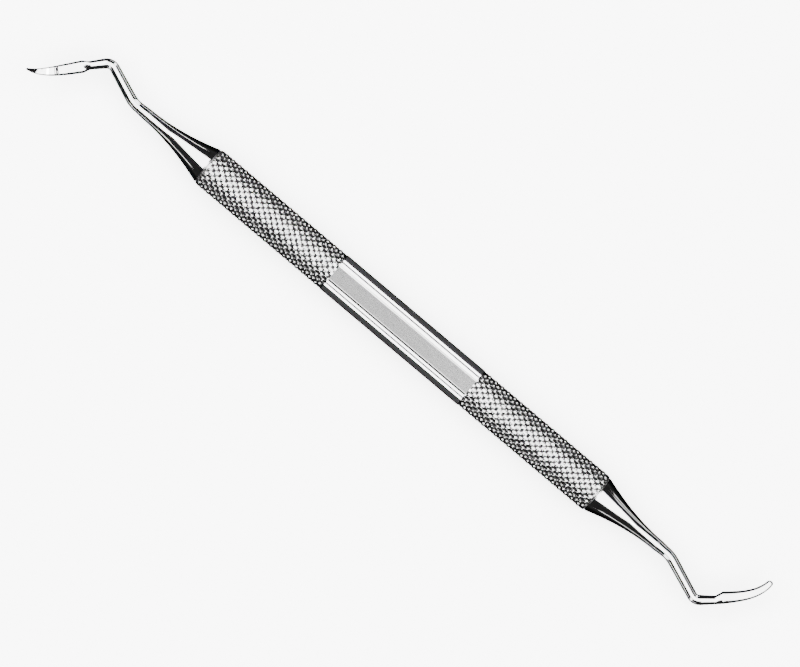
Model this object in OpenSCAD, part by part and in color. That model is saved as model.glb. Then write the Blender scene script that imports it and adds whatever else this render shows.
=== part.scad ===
// Double-ended hand scaler: a hollow handle with two screw-in working ends.
// +X runs along the handle to working end B, +Z is the outward normal of the
// identification flat, and the origin is on the handle's axis at its middle.
// Each working end is drawn in its own frame: its shoulder is at x = 0, its
// tang lies on -X and its shank and blade lie on +X, bent in the XY plane.

/* [Handle] */
// Outside diameter of the handle tube
handle_d = 8; // [7.6:0.1:10]
// Length of the handle tube
handle_len = 92.4; // [80:0.2:120]
// Length of the smooth band between the two grips
band_len = 32.4; // [20:0.2:40]
// Diameter of the bore through the handle tube
tube_bore_d = 6.4; // [6.2:0.1:6.6]
// Width of the identification flat along the smooth band
flat_w = 3; // [2:0.1:3.6]
// Length of the bevel at each end of the handle tube
rim_bevel = 0.7; // [0.3:0.1:1.5]

/* [Screw joint] */
// Pitch of the thread
thread_pitch = 0.7; // [0.7:0.05:0.8]
// Outside diameter of the thread on the tang
thread_d = 3.84; // [3.7:0.02:3.9]
// Diameter of the smooth pilot between the shoulder and the thread
pilot_d = 4.4; // [4.3:0.1:4.5]
// Radial clearance of the pilot in its bore
pilot_gap = 0.05; // [0.03:0.01:0.08]
// Depth of the mouth that holds the seal ring
gland_depth = 1; // [0.8:0.1:1.2]

/* [Shank] */
// Diameter of the cone where it meets the handle
cone_d = 7.6; // [7:0.1:7.7]
// Length of the cone
cone_len = 14.5; // [12:0.5:15]
// Diameter of the shank where the cone ends
shank_d = 2.36; // [2.2:0.02:2.8]
// Diameter of the shank at its first bend
first_bend_d = 1.98; // [1.9:0.02:2.2]
// Diameter of the shank at its second bend
second_bend_d = 1.78; // [1.7:0.02:1.88]
// Diameter of the shank where it meets the blade
neck_d = 1.54; // [1.4:0.02:1.6]

/* [Working end A] */
// Distance from the handle to the corner of the first bend
first_corner_a = 17.75; // [17:0.05:20]
// Angle of the first bend
first_bend_a = 21.7; // [10:0.1:30]
// Distance between the corners of the two bends
middle_len_a = 8.35; // [7:0.1:10]
// Angle between the handle and the last straight part
heading_a = 47; // [35:1:60]
// Length of the blade along its curve
blade_a_len = 12.5; // [10:0.1:14]
// Width across the blade's face at its heel
blade_a_w = 2.3; // [1.8:0.02:2.4]

/* [Working end B] */
// Distance from the handle to the corner of the first bend
first_corner_b = 17.5; // [17:0.05:20]
// Angle of the first bend
first_bend_b = 21.3; // [10:0.1:30]
// Distance between the corners of the two bends
middle_len_b = 9.15; // [7:0.1:10]
// Angle between the handle and the last straight part
heading_b = 40; // [35:1:60]
// Length of the blade along its curve
blade_b_len = 11.15; // [10:0.1:14]
// Height of the blade from its back to its face at its heel
blade_b_h = 2.2; // [1.9:0.02:2.4]

/* [Hidden] */
$fn = 64;
overlap = 0.3;           // how far solids that are joined run into each other
seat_gap = 0.02;         // gap between a shoulder and the rim that it seats on

// Handle
flat_height = sqrt(handle_d*handle_d - flat_w*flat_w)/2;
rim_d = cone_d + 0.02;

// Socket and seal ring
pilot_len = 2.4;
pilot_bore_len = 1.6;
relief_d = 4.2;
relief_len = 1.1;
socket_end_wall = 1.2;
ring_clearance = 0.05;
ring_outer_r = tube_bore_d/2 - ring_clearance;
ring_inner_r = pilot_d/2 + ring_clearance;
ring_wire_r = (ring_outer_r - ring_inner_r)/2;

// Thread: 60 degree flanks, with the same running gap all round
thread_sides = 16;
tang_turns = 9;
socket_turns = 11;
thread_start = 1.9;      // depth at which both helices start, inside pilot and bore
thread_gap = 0.1;
thread_depth = 0.42;
flank_len = thread_depth*tan(30);
tang_root_r = thread_d/2 - thread_depth;
socket_root_r = tang_root_r + thread_gap;
tang_crest_w = 0.09;
socket_crest_w = tang_crest_w + 2*thread_gap*(1/cos(30) - tan(30));
dog_d = 2*tang_root_r - 0.1;
dog_end = 9.2;           // depth of the end of the tang
relief_start = thread_start + socket_turns*thread_pitch - 0.5;
socket_len = relief_start + relief_len + socket_end_wall - gland_depth;

// Shank
cone_power = 1.85;
cone_steps = 14;
joint_step = 0.04;       // how much thinner the wire starts than the cone's end
first_bend_r = 6;
first_bend_steps = 5;
second_bend_r = 1.7;
second_bend_steps = 9;
last_len = 3.8;          // from the corner of the second bend to the neck

// Blade
blade_steps = 24;
station_power = 1.4;     // above 1 puts the stations closer towards the tip
heel_len = 1.45;
side_bulge = 0.15;

/* Handle ---------------------------------------------------------------- */

module along_x() {
    rotate([0, 90, 0]) children();
}

module handle_tube() {
    half = handle_len/2;
    color("silver") difference() {
        along_x() rotate_extrude($fn = 96)
            polygon([[0, -half], [rim_d/2, -half], [handle_d/2, -half + rim_bevel],
                     [handle_d/2, half - rim_bevel], [rim_d/2, half], [0, half]]);
        translate([-half - 1, 0, 0]) along_x() cylinder(d = tube_bore_d, h = handle_len + 2);
        translate([-band_len/2, -handle_d/2, flat_height]) cube([band_len, handle_d, handle_d]);
    }
}

/* Screw joint ----------------------------------------------------------- */

// A rod along +Z with a right-hand helical ridge, which dies away over its last
// fade turns. Line 0 of the ridge runs one turn longer than the others, because
// it is also the far edge of the last turn.
module threaded_rod(root_r, crest_r, crest_w, turns, fade) {
    n = thread_sides*turns;
    root_w = thread_pitch - crest_w - 2*flank_len;
    centre = root_w + flank_len + crest_w/2;
    offset_z = [0, root_w, root_w + flank_len, root_w + flank_len + crest_w];
    function radius(i, k) =
        k < 2 ? root_r :
        fade == 0 ? crest_r : root_r + (crest_r - root_r)*min(1, (n - i)/thread_sides/fade);
    function rod_point(i, k) =
        let (a = 360*i/thread_sides, r = radius(i, k))
        [r*cos(a), r*sin(a), thread_pitch*i/thread_sides + offset_z[k] - centre];
    // Index of the point on line k at step i; line 4 is line 0 one turn later
    function at(i, k) = k == 4 ? at(i + thread_sides, 0) : i <= n ? 4*i + k : 3*(n + 1) + i;
    points = concat(
        [for (i = [0:n], k = [0:3]) rod_point(i, k)],
        [for (i = [n + 1:n + thread_sides]) rod_point(i, 0)],
        [[0, 0, thread_pitch/2 - centre], [0, 0, thread_pitch*(turns + 0.5) - centre]]);
    first = len(points) - 2;
    last = len(points) - 1;
    faces = concat(
        [for (i = [0:n - 1], k = [0:3]) [at(i, k), at(i, k + 1), at(i + 1, k)]],
        [for (i = [0:n - 1], k = [0:3]) [at(i + 1, k), at(i, k + 1), at(i + 1, k + 1)]],
        [for (i = [0:thread_sides - 1]) [first, at(i, 0), at(i + 1, 0)]],
        [for (k = [0:3]) [first, at(0, k + 1), at(0, k)]],
        [for (i = [n:n + thread_sides - 1]) [last, at(i + 1, 0), at(i, 0)]],
        [for (k = [0:3]) [last, at(n, k), at(n, k + 1)]]);
    polyhedron(points, faces, convexity = 10);
}

// Threaded bush with its mouth at x = -gland_depth, closed at its far end
module socket() {
    color("darkgray") rotate([0, -90, 0]) difference() {
        translate([0, 0, gland_depth]) cylinder(d = tube_bore_d, h = socket_len);
        cylinder(d = pilot_d + 2*pilot_gap, h = gland_depth + pilot_bore_len);
        translate([0, 0, relief_start]) cylinder(d = relief_d, h = relief_len);
        translate([0, 0, thread_start])
            threaded_rod(socket_root_r, thread_d/2 + thread_gap, socket_crest_w, socket_turns, 0);
    }
}

module seal_ring() {
    color("dimgray") translate([-gland_depth/2, 0, 0]) along_x()
        rotate_extrude() translate([(ring_outer_r + ring_inner_r)/2, 0]) circle(r = ring_wire_r);
}

// The pilot, thread and dog point that screw into the socket
module tang() {
    rotate([0, -90, 0]) {
        translate([0, 0, -overlap]) cylinder(d = pilot_d, h = pilot_len + overlap);
        translate([0, 0, thread_start])
            threaded_rod(tang_root_r, thread_d/2, tang_crest_w, tang_turns, 1);
        translate([0, 0, pilot_len]) cylinder(d = dog_d, h = dog_end - pilot_len);
    }
}

/* Cone, shank and blade -------------------------------------------------- */

function cone_r(x) = (shank_d + (cone_d - shank_d)*pow(1 - x/cone_len, cone_power))/2;

module cone() {
    along_x() rotate_extrude()
        polygon(concat([[0, seat_gap]],
                       [for (i = [0:cone_steps]) let (x = seat_gap + (cone_len - seat_gap)*i/cone_steps)
                            [cone_r(x), x]],
                       [[0, cone_len]]));
}

function direction(yaw, pitch) = [cos(pitch)*cos(yaw), cos(pitch)*sin(yaw), sin(pitch)];

// Every section has these points in the same order: along the face, down one
// side, round the back and up the other side.
section_angles = [40, 65, 90, 115, 140, 161, 182, 203, 224, 245, 270, 295, 316, 337, 358, 379];
side_points = 4;

function round_section(d) = [for (a = section_angles) d/2*[cos(a), sin(a)]];

// Section of a ground blade: half the width of its face, the face's height,
// the back's depth and half the width of the back
function ground_section(face_w, up, down, back_w) =
    let (steps = side_points + 1,
         side = [for (j = [1:side_points]) let (u = j/steps)
                     [face_w + (back_w - face_w)*u + side_bulge*face_w*u*(1 - u), up - (up + down)*u]])
    concat([for (u = [1, 0.5, 0, -0.5, -1]) [face_w*u, up]],
           [for (q = side) [-q[0], q[1]]],
           [[-back_w, -down], [0, -down - back_w/4], [back_w, -down]],
           [for (j = [side_points - 1:-1:0]) side[j]]);

// A loft is a list of stations, each [yaw, pitch, distance to the next station,
// section]. The roll turns the face from +Z (0) to +Y (90).
module loft(start, stations, roll) {
    n = len(stations) - 1;
    m = len(section_angles);
    path = [for (i = 0, p = start; i <= n;
                 p = i < n ? p + stations[i][2]*direction((stations[i][0] + stations[i + 1][0])/2,
                                                          (stations[i][1] + stations[i + 1][1])/2) : p,
                 i = i + 1) p];
    function placed_section(i) =
        let (yaw = stations[i][0], pitch = stations[i][1],
             left = [-sin(yaw), cos(yaw), 0],
             above = direction(yaw, pitch + 90),
             face = cos(roll)*above + sin(roll)*left,
             across = sin(roll)*above - cos(roll)*left)
        [for (q = stations[i][3]) path[i] + q[0]*across + q[1]*face];
    points = concat([for (i = [0:n]) each placed_section(i)], [path[0], path[n]]);
    faces = concat(
        [for (i = [0:n - 1], j = [0:m - 1]) let (k = (j + 1) % m)
            [i*m + j, i*m + k, (i + 1)*m + j]],
        [for (i = [0:n - 1], j = [0:m - 1]) let (k = (j + 1) % m)
            [(i + 1)*m + j, i*m + k, (i + 1)*m + k]],
        [for (j = [0:m - 1]) [(n + 1)*m, (j + 1) % m, j]],
        [for (j = [0:m - 1]) [(n + 1)*m + 1, n*m + j, n*m + (j + 1) % m]]);
    polyhedron(points, faces, convexity = 8);
}

// Stations round a bend from one heading to another, the last at its end
function bend_stations(from, to, bend_r, d, steps, next) =
    let (turn = (to - from)/steps, chord = 2*bend_r*sin(abs(turn)/2))
    [for (i = [0:steps]) [from + i*turn, 0, i < steps ? chord : next, round_section(d)]];

// How much of the straights each bend uses up on either side of its corner
function corner(turn, bend_r) = bend_r*tan(abs(turn)/2);

function shank_stations(first_corner, first_bend, middle_len, heading) =
    let (cut_1 = corner(first_bend, first_bend_r),
         cut_2 = corner(heading + first_bend, second_bend_r))
    concat(
        [[0, 0, first_corner - cone_len - cut_1 + overlap, round_section(shank_d - joint_step)]],
        bend_stations(0, -first_bend, first_bend_r, first_bend_d, first_bend_steps,
                      middle_len - cut_1 - cut_2),
        bend_stations(-first_bend, heading, second_bend_r, second_bend_d, second_bend_steps,
                      last_len - cut_2));

function station(i) = 1 - pow(1 - i/blade_steps, station_power);

// Share of the blade's length past the heel, from 0 to 1
function past_heel(t, length) = max(0, (t*length - heel_len)/(length - heel_len));

// Rounding of the toe: 1 up to the last part of the blade, then a quarter ellipse
function toe(t, length, toe_r) =
    let (u = max(0, (t*length - length + toe_r)/toe_r)) sqrt(max(0.2, 1 - u*u));

// The neck's round section becomes the ground one over the length of the heel
function blade_station(i, length, heading, yaw, pitch, ground) =
    let (u = min(1, station(i)*length/heel_len))
    [heading + yaw, pitch, length*(station(i + 1) - station(i)),
     (1 - u)*round_section(neck_d) + u*ground];

// Pointed sickle blade: its face looks along +Z and its tip curls up towards +Z
function blade_a_stations() =
    [for (i = [0:blade_steps])
        let (t = station(i), q = past_heel(t, blade_a_len), end = toe(t, blade_a_len, 0.35),
             w = blade_a_w/2*(1 - 0.87*pow(q, 1.85))*end)
        blade_station(i, blade_a_len, heading_a, 2.8 - 34*pow(t, 4), 48*pow(t, 2.2),
                      ground_section(w, 0.45 - 0.28*q, (1.15 - 0.95*q)*end, 0.18*w + 0.04))];

// Blunt-toed blade that curves in the plane of the shank, its face towards the inside
function blade_b_stations() =
    [for (i = [0:blade_steps])
        let (t = station(i), q = past_heel(t, blade_b_len), end = toe(t, blade_b_len, 0.5),
             h = 1 + (blade_b_h - 1)*pow(1 - q, 0.75), down = 0.76 - 0.2*q, w = (0.74 - 0.32*q)*end)
        blade_station(i, blade_b_len, heading_b, 5 + 50*pow(t, 2.6), 0,
                      ground_section(w, (h - down)*end, down*end, 0.4*w))];

module working_end(shank, blade, roll) {
    color("lightsteelblue") {
        tang();
        cone();
        loft([cone_len - overlap, 0, 0], concat(shank, blade), roll);
    }
}

/* Assembly -------------------------------------------------------------- */

module at_end_a() {
    translate([-handle_len/2, 0, 0]) rotate([0, 0, 180]) children();
}

module at_end_b() {
    translate([handle_len/2, 0, 0]) children();
}

module socket_a() { at_end_a() socket(); }
module socket_b() { at_end_b() socket(); }
module seal_ring_a() { at_end_a() seal_ring(); }
module seal_ring_b() { at_end_b() seal_ring(); }

module working_end_a() {
    at_end_a() working_end(shank_stations(first_corner_a, first_bend_a, middle_len_a, heading_a),
                           blade_a_stations(), 0);
}

module working_end_b() {
    at_end_b() working_end(shank_stations(first_corner_b, first_bend_b, middle_len_b, heading_b),
                           blade_b_stations(), 90);
}

handle_tube();
socket_a();
socket_b();
seal_ring_a();
seal_ring_b();
working_end_a();
working_end_b();
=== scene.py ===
"""Looks of a double-ended hand scaler: knurled hollow handle, screw-in ends, seal rings."""

from math import ceil, cos, exp, floor, pi, radians, sin, sqrt, tan

import bmesh
import bpy
import numpy as np
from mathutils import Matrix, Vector


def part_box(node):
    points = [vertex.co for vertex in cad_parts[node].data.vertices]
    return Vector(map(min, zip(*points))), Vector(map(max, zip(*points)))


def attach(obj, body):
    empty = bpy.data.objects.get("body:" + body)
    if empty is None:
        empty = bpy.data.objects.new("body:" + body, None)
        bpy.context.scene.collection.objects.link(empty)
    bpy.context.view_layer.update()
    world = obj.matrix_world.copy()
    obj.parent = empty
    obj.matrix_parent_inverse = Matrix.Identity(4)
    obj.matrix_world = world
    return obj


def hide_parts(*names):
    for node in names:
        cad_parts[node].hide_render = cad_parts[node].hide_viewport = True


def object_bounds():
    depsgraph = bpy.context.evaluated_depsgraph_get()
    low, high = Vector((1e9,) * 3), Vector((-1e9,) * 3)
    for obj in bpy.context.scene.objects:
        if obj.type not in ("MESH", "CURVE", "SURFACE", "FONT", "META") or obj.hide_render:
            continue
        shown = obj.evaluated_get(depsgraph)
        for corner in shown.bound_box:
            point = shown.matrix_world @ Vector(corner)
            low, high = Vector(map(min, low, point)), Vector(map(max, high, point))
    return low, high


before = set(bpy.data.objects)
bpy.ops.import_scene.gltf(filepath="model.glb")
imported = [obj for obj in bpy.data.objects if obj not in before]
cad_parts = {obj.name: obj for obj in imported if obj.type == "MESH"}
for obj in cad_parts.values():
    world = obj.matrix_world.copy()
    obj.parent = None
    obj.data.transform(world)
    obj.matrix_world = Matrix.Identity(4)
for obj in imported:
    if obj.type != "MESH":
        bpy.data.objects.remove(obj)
cad_lo, cad_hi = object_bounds()

MM = 0.001
END_NAMES = ("a", "b")
WELD = 1e-4 * MM                # points closer than this become one
SHARP_ANGLE = radians(28)

# Handle. Its length and radius come from the frame.
HALF_LEN, HANDLE_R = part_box("handle_tube")[1][:2]
BAND_HALF = 16.2 * MM
BAND_RINGS = 25
BORE_R = 3.2 * MM
RIM_R = 3.81 * MM
RIM_BEVEL = 0.7 * MM
RIM_BEVEL_RINGS = 6
MOUTH_CHAMFER = 0.12 * MM
FLAT_HALF_W = 1.5 * MM
FLAT_HEIGHT = sqrt(HANDLE_R ** 2 - FLAT_HALF_W ** 2)
EDGE_SHADOW_COLUMNS = 2                # width of the painted shadow line along the flat's -Y edge, in columns

# Diamond knurl: two families of helical grooves that cross
KNURL_STARTS = 18
KNURL_PITCH = 1.5 * MM
KNURL_DEPTH = 0.18 * MM
KNURL_CELL = 8                  # grid steps in one pitch; the grooves run along its diagonals
# Depth at each grid step away from the bottom of a groove, as a share of KNURL_DEPTH
KNURL_PROFILE = (1.0, 0.74, 0.42, 0.12, 0.0)
CROSSING_DEPTH = 0.8            # how much deeper the pits are where two grooves cross
KNURL_FIRST = 0.55              # share of their depth that the grooves have beside the band
KNURL_RUN_IN = 0.25 * MM        # length in which a groove gains a whole depth
KNURL_STEP = KNURL_PITCH / KNURL_CELL
COLUMNS = KNURL_STARTS * KNURL_CELL

# Screw joint, the same for both ends. Depths are measured from the shoulder.
THREAD_PITCH = 0.7 * MM
THREAD_ROWS = 14                # grid rows in one pitch
THREAD_SPARE = (1.5, 4.5)       # turns of spare rows before the thread's start, and in all
THREAD_FLANK = 0.275            # length of a flank, and of half the crest, in pitches
THREAD_CREST = 0.065
THREAD_FADE = 0.56 * MM         # length in which the tang's thread dies away at its ends
PILOT_R = 2.2 * MM
PILOT_LEN = 2.4 * MM
PILOT_CHAMFER = 0.15 * MM
TANG_ROOT_R = 1.5 * MM
TANG_CREST_R = 1.92 * MM
THREAD_START = 2.55 * MM
THREAD_END = 8.1 * MM
DOG_STEP = 0.05 * MM            # length in which the dog point widens to the thread's root
DOG_R = 1.45 * MM
DOG_END = 9.2 * MM
DOG_CHAMFER = 0.25 * MM
SEAT_GAP = 0.02 * MM            # between the shoulder and the handle's rim
SOCKET_MOUTH = 1.0 * MM
SOCKET_LIP = 0.1 * MM           # chamfer of the socket's mouth
SOCKET_END = 11.4 * MM
SOCKET_R = 3.2 * MM
PILOT_BORE_R = 2.25 * MM
PILOT_BORE_END = 2.6 * MM
SOCKET_CREST_R = 1.6 * MM
SOCKET_ROOT_R = 2.02 * MM
SOCKET_THREAD_END = 9.1 * MM
RELIEF_R = 2.1 * MM
RELIEF_END = 10.2 * MM
CENTRE_MARK_R = 0.02 * MM

# Seal rings. Their size comes from the frame.
RING_STEPS = (96, 28)           # round the axis, round the wire
FLASH_HEIGHT = 0.02 * MM        # ridge that the mould's parting line leaves
FLASH_REACH = 0.2               # how far it spreads round the wire, as a sine

# Groove: half its width, its depth. Half of one lies each side of the seam between handle
# and cone, and a whole one crosses the face of blade A.
GROOVE = (0.26 * MM, 0.153 * MM)

# Cone and shank
CONE_R = 3.8 * MM
CONE_LEN = 14.5 * MM
CONE_POWER = 1.85
CONE_RINGS = 90
SHANK_R = 1.18 * MM
FIRST_BEND = (6 * MM, 1.04 * MM, 16)      # radius of the bend, radius of the shank there, rings
SECOND_BEND = (1.7 * MM, 0.95 * MM, 28)
NECK_R = 0.80 * MM
LAST_LEN = 3.8 * MM
STRAIGHT_STEPS = (6, 10, 8)

# Both blades
HEEL_LEN = 1.45 * MM
SIDE_BULGE = 0.15               # of a ground section's sides, as a share of the half width
BACK_BULGE = 0.25               # of its back, as a share of the back's half width
BLADE_STEPS = 180
BLADE_CROWDING = 1.4            # how strongly the steps crowd towards the toe
EDGE_CUT = 0.4 * MM             # chamfer along both edges of the face
EDGE_CUT_LIMITS = (0.6, 0.3)    # most it may be, as shares of the half width and the height
BACK_CUT_LIMITS = (0.6, 0.3)    # the same for the back's edges: of its half width and its depth
TOE_LIMIT = 0.03                # keeps the last section from closing to a point

# Blade A, a sickle. Pairs are values at the heel and at the toe.
SICKLE_LEN = 12.5 * MM
SICKLE_TOE_R = 0.35 * MM
SICKLE_HALF_W = 1.15 * MM
SICKLE_TAPER = (0.87, 1.85)     # share of its width lost by the toe, and a power
SICKLE_UP = (0.45 * MM, 0.17 * MM)
SICKLE_DOWN = (1.15 * MM, 0.2 * MM)
SICKLE_BACK = (0.18, 0.03 * MM)           # half the back's width: a share of the face's, and more
SICKLE_BACK_CUT = 0.12 * MM
SICKLE_YAW = (2.8, -34, 4)                # first angle and sweep in degrees, and a power
SICKLE_CURL = (0, 48, 2.2)
CROSS_LINE = 6.3 * MM           # where a groove crosses the face, and its twist ends
FACE_TWIST = 0.13
HOLLOW_DEPTH = 0.16 * MM        # how far the face sinks past the groove, and over what length
HOLLOW_RUN_IN = 0.8 * MM

# Blade B, a scoop
SCOOP_LEN = 11.15 * MM
SCOOP_TOE_R = 0.5 * MM
SCOOP_HALF_W = (0.74 * MM, 0.42 * MM)
SCOOP_HEIGHT = (2.2 * MM, 1.0 * MM)
SCOOP_HEIGHT_POWER = 0.75
SCOOP_DOWN = (0.76 * MM, 0.56 * MM)
SCOOP_BACK = 0.4
SCOOP_BACK_CUT = (0.34 * MM, 0.14 * MM)
SCOOP_YAW = (5, 50, 2.6)

# Points round a section: the face, one side, the back, the other side
FACE_POINTS = 17
SIDE_POINTS = 23
BACK_POINTS = 9
FACE_SPAN = (40, 140)           # degrees that the face and the back take up in a round section
BACK_SPAN = (245, 295)


# ---------------------------------------------------------------- meshes

def new_piece(name, verts, faces, materials, face_slots=None):
    """A smooth-shaded mesh object whose hard edges stay sharp."""
    mesh = bpy.data.meshes.new(name)
    mesh.from_pydata([tuple(v) for v in verts], [], faces)
    for material in materials:
        mesh.materials.append(material)
    if face_slots is not None:
        mesh.polygons.foreach_set("material_index", face_slots)
    clean = bmesh.new()
    clean.from_mesh(mesh)
    bmesh.ops.remove_doubles(clean, verts=clean.verts, dist=WELD)
    bmesh.ops.dissolve_degenerate(clean, dist=WELD, edges=clean.edges)
    bmesh.ops.recalc_face_normals(clean, faces=clean.faces)
    clean.to_mesh(mesh)
    clean.free()
    mesh.shade_smooth()
    mesh.set_sharp_from_angle(angle=SHARP_ANGLE)
    piece = bpy.data.objects.new(name, mesh)
    bpy.context.scene.collection.objects.link(piece)
    return piece


class Shell:
    """Vertices and faces that grow from closed rings of points."""

    def __init__(self):
        self.verts = []
        self.faces = []
        self.slots = []

    def add_ring(self, ring):
        self.verts.extend(ring)
        return len(self.verts) - len(ring)

    def skin(self, rings, slot=0):
        """Quads between neighbouring rings; returns the first indices of the end rings."""
        count = len(rings[0])
        starts = [self.add_ring(ring) for ring in rings]
        for near, far in zip(starts, starts[1:]):
            for j in range(count):
                k = (j + 1) % count
                self.faces.append((near + j, near + k, far + k, far + j))
                self.slots.append(slot)
        return starts

    def cap(self, ring, slot=0):
        """A fan that closes a ring at its middle."""
        start = self.add_ring(ring)
        self.verts.append(np.mean(ring, axis=0))
        middle = len(self.verts) - 1
        count = len(ring)
        for j in range(count):
            self.faces.append((start + j, start + (j + 1) % count, middle))
            self.slots.append(slot)


def wave(share):
    """Distance of each value from its nearest whole number, from 0 to 0.5."""
    return np.abs(share - np.round(share))


# ---------------------------------------------------------------- handle

def knurl_depth(column, row):
    """Depth of a grip's surface at a grid column and row, as a share of KNURL_DEPTH."""
    steps = np.arange(len(KNURL_PROFILE)) / KNURL_CELL
    one = np.interp(wave((column + row) / KNURL_CELL), steps, KNURL_PROFILE)
    other = np.interp(wave((column - row) / KNURL_CELL), steps, KNURL_PROFILE)
    return np.maximum(one, other) + CROSSING_DEPTH * np.minimum(one, other)


def bevel_r(x):
    """Radius of the cone that bevels the rim, at a distance along the axis."""
    share = np.clip((abs(x) - HALF_LEN + RIM_BEVEL) / RIM_BEVEL, 0, 1)
    return HANDLE_R - (HANDLE_R - RIM_R) * share


def tube_ring(x, radii, angles):
    """Points round the handle; the angles are measured from +Z towards +Y."""
    return np.column_stack([np.full(len(angles), x), radii * np.sin(angles), radii * np.cos(angles)])


def grip_rings(side):
    """Rings of one knurled grip, from the band out to the rim."""
    column = np.arange(COLUMNS)
    angles = 2 * pi * column / COLUMNS
    grip_len = HALF_LEN - BAND_HALF
    rows = round((grip_len - RIM_BEVEL) / KNURL_STEP) + 1
    bevel = np.linspace(grip_len - RIM_BEVEL, grip_len - GROOVE[0], RIM_BEVEL_RINGS)[1:]
    places = [row * KNURL_STEP for row in range(rows)] + list(bevel)
    rings = []
    for place in sorted(set(round(p, 9) for p in places)):
        x = BAND_HALF + place
        fade = min(1, KNURL_FIRST + place / KNURL_RUN_IN)
        cut = HANDLE_R - fade * KNURL_DEPTH * knurl_depth(column, place / KNURL_STEP)
        rings.append(tube_ring(side * x, np.minimum(cut, bevel_r(x)), angles))
    return rings


def band_angles():
    """The grid's angles, with the two beside the flat's edges moved onto them."""
    angles = 2 * pi * np.arange(COLUMNS) / COLUMNS
    edge = np.arcsin(FLAT_HALF_W / HANDLE_R)
    nearest = round(edge * COLUMNS / (2 * pi))
    angles[nearest] = edge
    angles[COLUMNS - nearest] = 2 * pi - edge
    return angles


def band_rings(angles, on_flat):
    """Rings of the smooth band, cut by the flat along +Z."""
    radii = np.full(COLUMNS, HANDLE_R)
    radii[on_flat] = FLAT_HEIGHT / np.cos(angles[on_flat])
    return [tube_ring(x, radii, angles) for x in np.linspace(-BAND_HALF, BAND_HALF, BAND_RINGS)]


def band_slots(on_flat, polished, flat, edge_shadow):
    """Material slot of each column of the band: the flat, the painted shadow line along its -Y edge,
    the rest.
    """
    inside = [j for j in range(COLUMNS) if on_flat[j] and on_flat[(j + 1) % COLUMNS]]
    slots = [polished] * COLUMNS
    for j in inside:
        slots[j] = flat
    first = min(j for j in inside if j > COLUMNS // 2)
    # The columns beside the flat's -Y edge get the painted shadow line.
    slots[first - EDGE_SHADOW_COLUMNS:first] = [edge_shadow] * EDGE_SHADOW_COLUMNS
    return slots


def store_depth(handle):
    """Stores how deep each point lies in the knurl, which its material turns into painted shade."""
    points = np.array([v.co for v in handle.data.vertices])
    depth = (HANDLE_R - np.hypot(points[:, 1], points[:, 2])) / (KNURL_DEPTH * (1 + CROSSING_DEPTH))
    attribute = handle.data.attributes.new("depth", "FLOAT", "POINT")
    attribute.data.foreach_set("value", np.clip(depth, 0, 1).astype(np.float32))


def make_handle(materials):
    """Tube with two knurled grips, a smooth band with a flat, bevelled rims and a bore."""
    knurled, polished, flat, machined, edge_shadow = range(5)
    shell = Shell()
    angles = band_angles()
    on_flat = (np.abs(np.sin(angles)) * HANDLE_R < FLAT_HALF_W + WELD) & (np.cos(angles) > 0)
    rings = band_rings(angles, on_flat)
    shell.skin(rings)
    shell.slots = band_slots(on_flat, polished, flat, edge_shadow) * (BAND_RINGS - 1)
    even = 2 * pi * np.arange(COLUMNS) / COLUMNS
    inner = HALF_LEN - MOUTH_CHAMFER
    mouth = ((HALF_LEN, RIM_R - GROOVE[1]), (HALF_LEN, BORE_R + MOUTH_CHAMFER), (inner, BORE_R))
    for side in (-1, 1):
        grip = grip_rings(side)
        shell.skin([rings[0 if side < 0 else -1], grip[0]], polished)
        shell.skin(grip, knurled)
        shell.skin([grip[-1]] + [tube_ring(side * x, r, even) for x, r in mouth], machined)
    shell.skin([tube_ring(x, BORE_R, even) for x in (-inner, inner)], machined)
    handle = new_piece("handle", shell.verts, shell.faces, materials, shell.slots)
    store_depth(handle)
    return handle


# ---------------------------------------------------------------- sections

def section_angles():
    """Angle of each point of a section while it is still round, in degrees."""
    face = np.linspace(*FACE_SPAN, FACE_POINTS)
    side = np.linspace(FACE_SPAN[1], BACK_SPAN[0], SIDE_POINTS + 2)[1:-1]
    back = np.linspace(*BACK_SPAN, BACK_POINTS)
    other = np.linspace(BACK_SPAN[1], FACE_SPAN[0] + 360, SIDE_POINTS + 2)[1:-1]
    return np.concatenate([face, side, back, other])


ANGLES = np.radians(section_angles())


def round_section(radius):
    return radius * np.column_stack([np.cos(ANGLES), np.sin(ANGLES)])


def ground_section(face_w, up, down, back_w, back_cut, twist=0.0):
    """Section with chamfered edges: half the face's width, its height, the back's depth,
    half the back's width and the cut of its edges. The twist tips the face sideways."""
    edge = min(EDGE_CUT, EDGE_CUT_LIMITS[0] * face_w, EDGE_CUT_LIMITS[1] * (up + down))
    back_cut = min(back_cut, BACK_CUT_LIMITS[0] * back_w, BACK_CUT_LIMITS[1] * down)
    across = (face_w - edge) * np.linspace(1, -1, FACE_POINTS)
    face = np.column_stack([across, up + twist * across])
    u = np.linspace(0, 1, SIDE_POINTS)
    bulge = SIDE_BULGE * face_w * u * (1 - u)
    drop = up + down - edge - 2 * back_cut
    side = np.column_stack([face_w + (back_w - face_w) * u + bulge, up - edge - drop * u])
    v = np.linspace(-1, 1, BACK_POINTS)
    back = np.column_stack([(back_w - back_cut) * v, -down - BACK_BULGE * back_w * (1 - v ** 2)])
    return np.concatenate([face, side * (-1, 1), back, side[::-1]])


def direction(yaw, pitch):
    return np.array([cos(pitch) * cos(yaw), cos(pitch) * sin(yaw), sin(pitch)])


def placed(section, at, yaw, pitch, roll):
    """A section set square to its path; roll turns its face from +Z to +Y."""
    left = np.array([-sin(yaw), cos(yaw), 0])
    above = direction(yaw, pitch + pi / 2)
    face = cos(roll) * above + sin(roll) * left
    across = sin(roll) * above - cos(roll) * left
    return at + section[:, :1] * across + section[:, 1:] * face


def mix(pair, share):
    """A value between the two of a pair."""
    return pair[0] + (pair[1] - pair[0]) * share


# ---------------------------------------------------------------- working ends

def cone_r(x):
    return SHANK_R + (CONE_R - SHANK_R) * (1 - x / CONE_LEN) ** CONE_POWER


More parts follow.
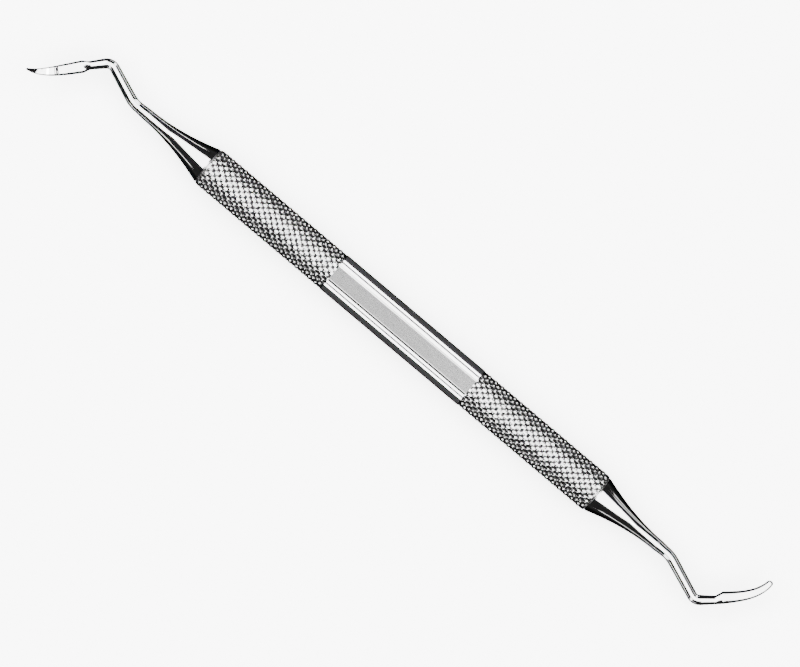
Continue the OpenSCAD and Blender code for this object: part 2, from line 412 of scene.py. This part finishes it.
def turned_rings(profile, roll):
    """Rings of a turned surface from (distance along +X, radius) pairs."""
    return [placed(round_section(r), np.array([x, 0, 0]), 0, 0, roll) for x, r in profile]


def thread_ridge(depth, angle):
    """Height of a thread whose ridge passes depth 0 at angle 0, from 0 to 1."""
    turn = wave(depth / THREAD_PITCH - angle / (2 * pi))
    return np.clip((THREAD_FLANK + THREAD_CREST - turn) / THREAD_FLANK, 0, 1)


def thread_skin(shell, start, end, crest_r, root_r, roll, fade=0.0):
    """A threaded surface on a grid that follows the helix, so its edges stay clean.
    Rows past its start or end are pressed flat onto its end rings, which it returns."""
    angles = ANGLES - pi / 2 + roll
    count = len(angles)
    first_row = floor(start / THREAD_PITCH - THREAD_SPARE[0]) * THREAD_ROWS
    rows = ceil(((end - start) / THREAD_PITCH + THREAD_SPARE[1]) * THREAD_ROWS)
    starts = []
    for row in range(first_row, first_row + rows):
        depth = np.clip(THREAD_PITCH * (row / THREAD_ROWS + angles / (2 * pi)), start, end)
        height = thread_ridge(depth, angles)
        if fade:
            height = height * np.clip(np.minimum(depth - start, end - depth) / fade, 0, 1)
        radius = root_r + (crest_r - root_r) * height
        ring = np.column_stack([-depth, radius * np.sin(angles), radius * np.cos(angles)])
        starts.append(shell.add_ring(ring))
    last = rows - 1
    for row in range(last):
        near, far = starts[row], starts[row + 1]
        for j in range(count - 1):
            shell.faces.append((near + j, near + j + 1, far + j + 1, far + j))
        turn_on = min(row + THREAD_ROWS, last)
        shell.faces.append((near + count - 1, starts[turn_on],
                            starts[min(turn_on + 1, last)], far + count - 1))
    shell.slots += [0] * (last * count)
    return [np.array(shell.verts[i:i + count]) for i in (starts[0], starts[last])]


def tang_and_cone(shell, roll):
    """Dog point, thread, pilot, shoulder and cone. Returns the last ring of the cone."""
    dog = [(-DOG_END, DOG_R - DOG_CHAMFER), (-DOG_END + DOG_CHAMFER, DOG_R),
           (-THREAD_END - DOG_STEP, DOG_R), (-THREAD_END, TANG_ROOT_R)]
    rings = turned_rings(dog, roll)
    shell.cap(rings[0])
    shell.skin(rings)
    thread_skin(shell, THREAD_START, THREAD_END, TANG_CREST_R, TANG_ROOT_R, roll, THREAD_FADE)
    seat = [(-THREAD_START, TANG_ROOT_R), (-PILOT_LEN, TANG_ROOT_R),
            (-PILOT_LEN, PILOT_R - PILOT_CHAMFER), (-PILOT_LEN + PILOT_CHAMFER, PILOT_R),
            (SEAT_GAP, PILOT_R), (SEAT_GAP, cone_r(GROOVE[0]) - GROOVE[1])]
    steps = np.linspace(SEAT_GAP + GROOVE[0], CONE_LEN, CONE_RINGS)
    rings = turned_rings(seat + [(x, cone_r(x)) for x in steps], roll)
    shell.skin(rings)
    return rings[-1]


class Path:
    """A point that moves along the shank and leaves sections behind it."""

    def __init__(self, at, roll):
        self.at = np.array(at, float)
        self.yaw = 0.0
        self.pitch = 0.0
        self.roll = roll
        self.rings = []

    def step(self, length, yaw, pitch, section):
        mean = direction((self.yaw + yaw) / 2, (self.pitch + pitch) / 2)
        self.at = self.at + length * mean
        self.yaw = yaw
        self.pitch = pitch
        self.rings.append(placed(section, self.at, yaw, pitch, self.roll))

    def straight(self, length, radius_from, radius_to, steps):
        for i in range(1, steps + 1):
            radius = radius_from + (radius_to - radius_from) * i / steps
            self.step(length / steps, self.yaw, 0, round_section(radius))

    def bend(self, yaw, bend_r, radius, steps):
        turn = (yaw - self.yaw) / steps
        chord = 2 * bend_r * sin(abs(turn) / 2)
        for _ in range(steps):
            self.step(chord, self.yaw + turn, 0, round_section(radius))


def corner(turn, bend_r):
    """Length that a bend uses up on each side of its corner."""
    return bend_r * tan(abs(turn) / 2)


def shank_path(first_corner, first_bend, middle_len, heading, roll):
    """The shank from the end of the cone to the neck."""
    bend_r, first_r, first_steps = FIRST_BEND
    tight_r, second_r, second_steps = SECOND_BEND
    cut_1 = corner(first_bend, bend_r)
    cut_2 = corner(heading + first_bend, tight_r)
    path = Path((CONE_LEN, 0, 0), roll)
    path.straight(first_corner - CONE_LEN - cut_1, SHANK_R, first_r, STRAIGHT_STEPS[0])
    path.bend(-first_bend, bend_r, first_r, first_steps)
    path.straight(middle_len - cut_1 - cut_2, first_r, second_r, STRAIGHT_STEPS[1])
    path.bend(heading, tight_r, second_r, second_steps)
    path.straight(LAST_LEN - cut_2, second_r, NECK_R, STRAIGHT_STEPS[2])
    return path


def blade(path, length, shape):
    """Adds a ground blade; shape gives yaw, pitch and section at a share of its length."""
    heading = path.yaw
    path.yaw += shape(0.0)[0]
    here = 0.0
    for i in range(1, BLADE_STEPS + 1):
        there = 1 - (1 - i / BLADE_STEPS) ** BLADE_CROWDING
        yaw, pitch, section = shape(there)
        grown = min(1, there * length / HEEL_LEN)
        mixed = (1 - grown) * round_section(NECK_R) + grown * section
        path.step(length * (there - here), heading + yaw, pitch, mixed)
        here = there


def past_heel(t, length):
    """Share of the blade past its heel at a share of its whole length."""
    return max(0.0, (t * length - HEEL_LEN) / (length - HEEL_LEN))


def toe(t, length, toe_r):
    """Rounding of the toe: 1 up to the last part of the blade, then a quarter ellipse."""
    u = max(0.0, (t * length - length + toe_r) / toe_r)
    return sqrt(max(TOE_LIMIT, 1 - u * u))


def swept(turn, t):
    """Angle at a share of the length, from the first angle, the sweep and a power."""
    first, sweep, power = turn
    return radians(first + sweep * t ** power)


def sickle(t):
    """Pointed blade whose face looks along +Z and whose tip curls up."""
    q = past_heel(t, SICKLE_LEN)
    end = toe(t, SICKLE_LEN, SICKLE_TOE_R)
    lost, power = SICKLE_TAPER
    half_w = SICKLE_HALF_W * (1 - lost * q ** power) * end
    past = t * SICKLE_LEN - CROSS_LINE
    groove = GROOVE[1] * max(0.0, 1 - abs(past) / GROOVE[0])
    hollow = HOLLOW_DEPTH * (1 - exp(-max(0.0, past) / HOLLOW_RUN_IN))
    back_w = SICKLE_BACK[0] * half_w + SICKLE_BACK[1]
    section = ground_section(half_w, mix(SICKLE_UP, q) - groove - hollow, mix(SICKLE_DOWN, q) * end,
                             back_w, SICKLE_BACK_CUT, twist=0.0 if past > 0 else FACE_TWIST)
    return swept(SICKLE_YAW, t), swept(SICKLE_CURL, t), section


def scoop(t):
    """Blunt-toed blade that curves in the plane of the shank, its face to the inside."""
    q = past_heel(t, SCOOP_LEN)
    end = toe(t, SCOOP_LEN, SCOOP_TOE_R)
    height = mix(SCOOP_HEIGHT, 1 - (1 - q) ** SCOOP_HEIGHT_POWER)
    down = mix(SCOOP_DOWN, q)
    half_w = mix(SCOOP_HALF_W, q) * end
    section = ground_section(half_w, (height - down) * end, down * end, SCOOP_BACK * half_w,
                             mix(SCOOP_BACK_CUT, q))
    return swept(SCOOP_YAW, t), 0.0, section


# Of each end: first corner from the shoulder, first bend, length between the bends, heading
# past the second, roll of the blade's face, and the blade's length and shape
ENDS = {
    "a": (17.75 * MM, radians(21.7), 8.35 * MM, radians(47), 0.0, SICKLE_LEN, sickle),
    "b": (17.5 * MM, radians(21.3), 9.15 * MM, radians(40), pi / 2, SCOOP_LEN, scoop),
}


def at_end(points, end):
    """Moves points from an end's own frame to its end of the handle."""
    points = np.array(points)
    if end == "a":
        points = points * (-1, -1, 1)
        return points - (HALF_LEN, 0, 0)
    return points + (HALF_LEN, 0, 0)


def make_working_end(end, materials):
    first_corner, first_bend, middle_len, heading, roll, blade_len, shape = ENDS[end]
    shell = Shell()
    last_ring = tang_and_cone(shell, roll)
    path = shank_path(first_corner, first_bend, middle_len, heading, roll)
    blade(path, blade_len, shape)
    shell.skin([last_ring] + path.rings)
    shell.cap(path.rings[-1])
    return new_piece(f"scaler_end_{end}", at_end(shell.verts, end), shell.faces, materials)


# ---------------------------------------------------------------- sockets and rings

def make_socket(end, materials):
    """Threaded bush at the bottom of the handle's mouth."""
    shell = Shell()
    mouth, bottom = thread_skin(shell, PILOT_BORE_END, SOCKET_THREAD_END,
                                SOCKET_ROOT_R, SOCKET_CREST_R, 0)
    relief = turned_rings([(-SOCKET_THREAD_END, RELIEF_R), (-RELIEF_END, RELIEF_R),
                           (-RELIEF_END, CENTRE_MARK_R)], 0)
    shell.skin([bottom] + relief)
    shell.cap(relief[-1])
    outside = turned_rings([(-PILOT_BORE_END, PILOT_BORE_R),
                            (-SOCKET_MOUTH - SOCKET_LIP, PILOT_BORE_R),
                            (-SOCKET_MOUTH, PILOT_BORE_R + SOCKET_LIP), (-SOCKET_MOUTH, SOCKET_R),
                            (-SOCKET_END, SOCKET_R)], 0)
    shell.skin([mouth] + outside)
    shell.cap(outside[-1])
    return new_piece(f"threaded_socket_{end}", at_end(shell.verts, end), shell.faces, materials)


def make_ring(end, materials):
    """Moulded seal ring with the faint parting line of its mould."""
    low, high = (np.array(p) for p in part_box(f"seal_ring_{end}"))
    middle_x = (low[0] + high[0]) / 2
    wire_r = (high[0] - low[0]) / 2
    centre_r = (high[1] - low[1]) / 2 - wire_r
    around, round_wire = RING_STEPS
    b = 2 * pi * np.arange(round_wire) / round_wire
    ridge = FLASH_HEIGHT * np.maximum(0, 1 - np.abs(np.sin(b)) / FLASH_REACH)
    x = middle_x + (wire_r - FLASH_HEIGHT) * np.sin(b)
    r = centre_r + (wire_r - FLASH_HEIGHT + ridge) * np.cos(b)
    turns = 2 * pi * np.arange(around) / around
    rings = [np.column_stack([x, r * sin(a), r * cos(a)]) for a in turns]
    shell = Shell()
    shell.skin(rings + rings[:1])
    return new_piece(f"o_ring_{end}", shell.verts, shell.faces, materials)


# ---------------------------------------------------------------- materials

class Nodes:
    """Short names for the nodes of one material."""

    def __init__(self, name):
        self.material = bpy.data.materials.new(name)
        self.material.use_nodes = True
        self.tree = self.material.node_tree
        self.shader = self.tree.nodes["Principled BSDF"]

    def add(self, kind, **settings):
        node = self.tree.nodes.new(kind)
        for key, value in settings.items():
            if key in node.inputs:
                node.inputs[key].default_value = value
            else:
                setattr(node, key, value)
        return node

    def link(self, out, into):
        self.tree.links.new(out, into)

    def noise(self, scale, stretch=(1, 1, 1), detail=4.0, roughness=0.6):
        """Noise in the object's own metres, stretched along its axes."""
        place = self.add("ShaderNodeTexCoord")
        mapping = self.add("ShaderNodeMapping", Scale=stretch)
        self.link(place.outputs["Object"], mapping.inputs["Vector"])
        noise = self.add("ShaderNodeTexNoise", Scale=scale, Detail=detail, Roughness=roughness)
        self.link(mapping.outputs["Vector"], noise.inputs["Vector"])
        return noise.outputs["Fac"]

    def spread(self, value, low, high, start=0.35, end=0.65):
        """Maps the middle of a noise to a range."""
        node = self.add("ShaderNodeMapRange")
        node.inputs["From Min"].default_value = start
        node.inputs["From Max"].default_value = end
        node.inputs["To Min"].default_value = low
        node.inputs["To Max"].default_value = high
        self.link(value, node.inputs["Value"])
        return node.outputs["Result"]

    def colours(self, value, low, high):
        node = self.add("ShaderNodeMix", data_type="RGBA")
        node.inputs["A"].default_value = (*low, 1)
        node.inputs["B"].default_value = (*high, 1)
        self.link(value, node.inputs["Factor"])
        return node.outputs["Result"]

    def ramp(self, value, stops):
        """Grey levels that follow a value."""
        node = self.add("ShaderNodeValToRGB")
        set_stops(node, stops)
        self.link(value, node.inputs["Fac"])
        return node.outputs["Color"]

    def product(self, one, other):
        node = self.add("ShaderNodeMix", data_type="RGBA", blend_type="MULTIPLY")
        node.inputs["Factor"].default_value = 1.0
        self.link(one, node.inputs["A"])
        self.link(other, node.inputs["B"])
        return node.outputs["Result"]

    def bump(self, height, distance, strength=1.0, under=None):
        node = self.add("ShaderNodeBump", Strength=strength, Distance=distance)
        self.link(height, node.inputs["Height"])
        if under is not None:
            self.link(under, node.inputs["Normal"])
        return node.outputs["Normal"]

    def finish(self, colour, roughness, normal=None, metallic=1.0):
        self.shader.inputs["Metallic"].default_value = metallic
        for source, socket in ((colour, "Base Color"), (roughness, "Roughness"), (normal, "Normal")):
            if source is not None:
                self.link(source, self.shader.inputs[socket])
        return self.material


def grey(value, warm=0.0):
    return (value * (1 + warm), value, value * (1 - warm))


def set_stops(node, stops):
    """Gives a colour ramp its grey levels, from (place, grey) pairs in rising order."""
    points = node.color_ramp.elements
    while len(points) < len(stops):
        points.new(0.5)
    for point, (place, shade) in zip(points, stops):
        point.position = place
        point.color = (*grey(shade), 1)


def polished_steel():
    """Buffed instrument steel: soft clouding and hair scratches."""
    n = Nodes("polished_steel")
    cloud = n.spread(n.noise(260, detail=3.0), 0, 1)
    scratches = n.noise(900, stretch=(1, 14, 14), detail=2.0)
    colour = n.colours(cloud, grey(0.80, 0.004), grey(0.88, 0.004))
    roughness = n.spread(n.noise(700, stretch=(1, 5, 5)), 0.04, 0.08)
    return n.finish(colour, roughness, n.bump(scratches, 0.0004 * MM))


def knurled_steel():
    """Knurl whose grooves and pits get painted shade by their depth; the crests keep the steel's
    colour.
    """
    n = Nodes("knurled_steel")
    cloud = n.spread(n.noise(420, detail=5.0), 0, 1)
    steel = n.colours(cloud, grey(0.70, 0.004), grey(0.88, 0.004))
    depth = n.add("ShaderNodeAttribute", attribute_name="depth")
    uneven = n.add("ShaderNodeMath", operation="ADD")
    n.link(depth.outputs["Fac"], uneven.inputs[0])
    n.link(n.spread(n.noise(1300, detail=3.0), -0.16, 0.16), uneven.inputs[1])
    # Painted shade: the colour falls from the steel's to near black as the depth grows, with noise.
    painted_groove_shade = n.ramp(uneven.outputs["Value"], ((0.25, 1.0), (0.46, 0.45), (0.58, 0.2), (0.7, 0.012)))
    colour = n.product(steel, painted_groove_shade)
    roughness = n.spread(n.noise(1600), 0.10, 0.2)
    return n.finish(colour, roughness, n.bump(n.noise(5200), 0.003 * MM))


def satin_flat():
    """Identification flat, ground along the handle."""
    n = Nodes("satin_flat")
    grain = n.noise(700, stretch=(1, 40, 40), detail=6.0, roughness=0.75)
    colour = n.colours(n.spread(grain, 0, 1), grey(0.355, 0.003), grey(0.40, 0.003))
    roughness = n.spread(grain, 0.14, 0.19)
    return n.finish(colour, roughness, n.bump(grain, 0.002 * MM))


def machined_steel(name, shade):
    """Turned surfaces: fine rings round the axis."""
    n = Nodes(name)
    rings = n.noise(1500, stretch=(9, 0.25, 0.25), detail=3.0)
    colour = n.colours(n.spread(rings, 0, 1), grey(shade, 0.006), grey(shade * 1.15, 0.006))
    roughness = n.spread(rings, 0.2, 0.32)
    return n.finish(colour, roughness, n.bump(rings, 0.002 * MM))


def seal_rubber():
    """Matt black silicone rubber with a dusty bloom."""
    n = Nodes("seal_rubber")
    bloom = n.spread(n.noise(1100, detail=5.0), 0, 1)
    colour = n.colours(bloom, grey(0.018), grey(0.035))
    roughness = n.spread(n.noise(2400), 0.5, 0.68)
    return n.finish(colour, roughness, n.bump(n.noise(6000), 0.006 * MM), metallic=0.0)


def plain(name, shade, glow=0.0):
    """A matt stage material that may give off its own light."""
    n = Nodes(name)
    tint = n.spread(n.noise(2, detail=1.0), 0, 1)
    colour = n.colours(tint, grey(shade), grey(shade * 1.02))
    n.shader.inputs["Emission Color"].default_value = (1, 1, 1, 1)
    n.shader.inputs["Emission Strength"].default_value = glow
    return n.finish(colour, n.spread(tint, 0.9, 1.0), metallic=0.0)


# ---------------------------------------------------------------- studio

CAMERA_TURN = radians(40.14)     # the picture's right, measured from +X towards +Y
CAMERA_LENS = 200.0
SENSOR_W = 36.0
VIEW_W = 145.45 * MM             # width of the picture at the object
VIEW_CENTRE = (0.07 * MM, -0.79 * MM)
WHITE = 8.0                      # radiance of the lights that polished steel shows as white
STAGE_SIZE = 6.0
STAGE_SIDES = 48
BACKDROP_DROP = 0.01             # how far the backdrop reaches below the floor
CARD_HEIGHT = 1.4
CARD_ANGLE = radians(7)          # radius of the card as seen from the object
CARD_SHIFT = -0.03               # of its middle, along X

# Grey of the stage's materials, and the strength of their glow
FLOOR_LOOK = (0.9, 2.5)
BACKDROP_LOOK = (0.5, 8.5)
CARD_LOOK = (0.02, 0.9)

# Grey of the world by height, from straight down at 0 to level at 0.5 and above
WORLD_STOPS = ((0.0, 0.002), (0.3, 0.004), (0.44, 0.03), (0.5, 0.02))

# Name, shape, X of the point it faces, distance, azimuth and elevation of the middle, width
# and height as seen from that point, radiance. Angles are in degrees. Width runs level, or
# along Y for a light that is straight above.
FAR = 2.5
SOFTBOXES = (
    ("overhead", "ELLIPSE", 0, FAR, 0, 90, 64, 50, WHITE),
    ("side_left", "RECTANGLE", 0, FAR, 90, 33, 11, 22, WHITE),
    ("side_right", "RECTANGLE", 0, FAR, -90, 32, 11, 20, WHITE),
    ("strip_left", "RECTANGLE", 0, FAR, 90, 5, 11, 15, WHITE),
    ("strip_right", "RECTANGLE", 0, FAR, -90, 5, 11, 15, WHITE),
    ("rim_left", "RECTANGLE", 0, FAR, 90, 3, 56, 5, 2.5),
    ("rim_right", "RECTANGLE", 0, FAR, -90, 3, 56, 5, 2.5),
    ("shank_left", "RECTANGLE", 0, FAR, 64, 20, 12, 10, 1.2),
    ("middle_left", "RECTANGLE", 0, FAR, 74, 15, 6, 5, 3.0),
    ("middle_right", "RECTANGLE", 0, FAR, -107, 10, 6, 6, 4.0),
    ("low_left", "RECTANGLE", 0, FAR, 90, -31, 24, 42, 0.07),
    ("low_right", "RECTANGLE", 0, FAR, -90, -31, 24, 42, 0.07),
    ("round_back", "ELLIPSE", 0, FAR, 173, 50, 60, 36, WHITE),
    ("round_front", "ELLIPSE", 0, FAR, 5, 50, 56, 36, WHITE),
    ("tip_a", "RECTANGLE", -78 * MM, 0.15, 45, 60, 14, 16.4, WHITE),
)
FLOOR_WASH = ("floor_wash", "RECTANGLE", 0, FAR, 0, 90, 100, 100, 7.5)


def make_camera():
    """Straight above the object, with a long lens."""
    data = bpy.data.cameras.new("camera")
    data.lens = CAMERA_LENS
    data.sensor_width = SENSOR_W
    data.clip_start = 0.01
    data.clip_end = 50
    camera = bpy.data.objects.new("camera", data)
    camera.location = (*VIEW_CENTRE, VIEW_W * CAMERA_LENS / SENSOR_W)
    camera.rotation_euler = (0, 0, CAMERA_TURN)
    bpy.context.scene.collection.objects.link(camera)
    bpy.context.scene.camera = camera


def area_light(name, shape, about_x, distance, azimuth, elevation, wide, tall, radiance):
    """A softbox that faces a point of the object and fills the given angles as seen from it."""
    data = bpy.data.lights.new(name, "AREA")
    data.shape = shape
    data.size = 2 * distance * tan(radians(wide) / 2)
    data.size_y = 2 * distance * tan(radians(tall) / 2)
    area = data.size * data.size_y * (pi / 4 if shape == "ELLIPSE" else 1)
    data.energy = radiance * pi * area
    light = bpy.data.objects.new(name, data)
    a, e = radians(azimuth), radians(elevation)
    light.location = Vector((cos(e) * cos(a), cos(e) * sin(a), sin(e))) * distance
    light.location.x += about_x
    light.rotation_euler = (pi / 2 - e, 0, a + pi / 2)
    light.visible_camera = False
    bpy.context.scene.collection.objects.link(light)
    return light


def stage_mesh(name, verts, faces, material, glossy=False, diffuse=True):
    mesh = bpy.data.meshes.new(name)
    mesh.from_pydata(verts, [], faces)
    mesh.materials.append(material)
    piece = bpy.data.objects.new(name, mesh)
    bpy.context.scene.collection.objects.link(piece)
    piece.visible_glossy = glossy
    piece.visible_diffuse = diffuse
    piece.visible_shadow = False
    return piece


def circle(radius, z, about_x=0.0):
    """Points round a level circle."""
    turns = [2 * pi * i / STAGE_SIDES for i in range(STAGE_SIDES)]
    return [(radius * cos(a) + about_x, radius * sin(a), z) for a in turns]


def make_stage():
    """Floor under the object, a pale backdrop round it and a grey card over it."""
    low = cad_lo[2]
    n = STAGE_SIDES
    disc = [tuple(range(n))]
    stage_mesh("floor", circle(STAGE_SIZE, low), disc, plain("pale_floor", *FLOOR_LOOK))
    walls = circle(STAGE_SIZE, low - BACKDROP_DROP) + circle(STAGE_SIZE, STAGE_SIZE)
    faces = [(i, (i + 1) % n, n + (i + 1) % n, n + i) for i in range(n)]
    faces.append(tuple(range(n, 2 * n)))
    stage_mesh("backdrop", walls, faces, plain("pale_backdrop", *BACKDROP_LOOK), diffuse=False)
    card = circle(CARD_HEIGHT * tan(CARD_ANGLE), CARD_HEIGHT, CARD_SHIFT)
    grey_card = stage_mesh("camera_card", card, disc, plain("camera_card", *CARD_LOOK),
                           glossy=True, diffuse=False)
    grey_card.visible_camera = False


def make_world():
    """Dim room: a faint glow at and under the horizon that dies away downwards."""
    world = bpy.data.worlds.new("studio")
    world.use_nodes = True
    tree = world.node_tree
    background = tree.nodes["Background"]
    place = tree.nodes.new("ShaderNodeTexCoord")
    split = tree.nodes.new("ShaderNodeSeparateXYZ")
    ramp = tree.nodes.new("ShaderNodeValToRGB")
    height = tree.nodes.new("ShaderNodeMapRange")
    height.inputs["From Min"].default_value = -1.0
    height.inputs["From Max"].default_value = 1.0
    tree.links.new(place.outputs["Generated"], split.inputs["Vector"])
    tree.links.new(split.outputs["Z"], height.inputs["Value"])
    tree.links.new(height.outputs["Result"], ramp.inputs["Fac"])
    tree.links.new(ramp.outputs["Color"], background.inputs["Color"])
    set_stops(ramp, WORLD_STOPS)
    bpy.context.scene.world = world


def make_lights():
    for settings in SOFTBOXES:
        area_light(*settings)
    wash = area_light(*FLOOR_WASH)
    wash.visible_glossy = False


# ---------------------------------------------------------------- assembly

def assemble():
    knurled = knurled_steel()
    polished = polished_steel()
    flat = satin_flat()
    machined = machined_steel("machined_steel", 0.62)
    # Near-black steel along the flat's -Y edge: a painted shadow line.
    edge_shadow = machined_steel("painted_edge_shadow", 0.02)
    handle = make_handle([knurled, polished, flat, machined, edge_shadow])
    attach(handle, "handle")
    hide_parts("handle_tube")
    bright = machined_steel("socket_steel", 0.5)
    rubber = seal_rubber()
    for end in END_NAMES:
        working_end = make_working_end(end, [polished])
        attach(working_end, f"end_{end}")
        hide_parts(f"working_end_{end}")
        socket = make_socket(end, [bright])
        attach(socket, "handle")
        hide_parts(f"socket_{end}")
        ring = make_ring(end, [rubber])
        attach(ring, f"seal_{end}")
        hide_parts(f"seal_ring_{end}")


make_camera()
assemble()
make_stage()
make_world()
make_lights()
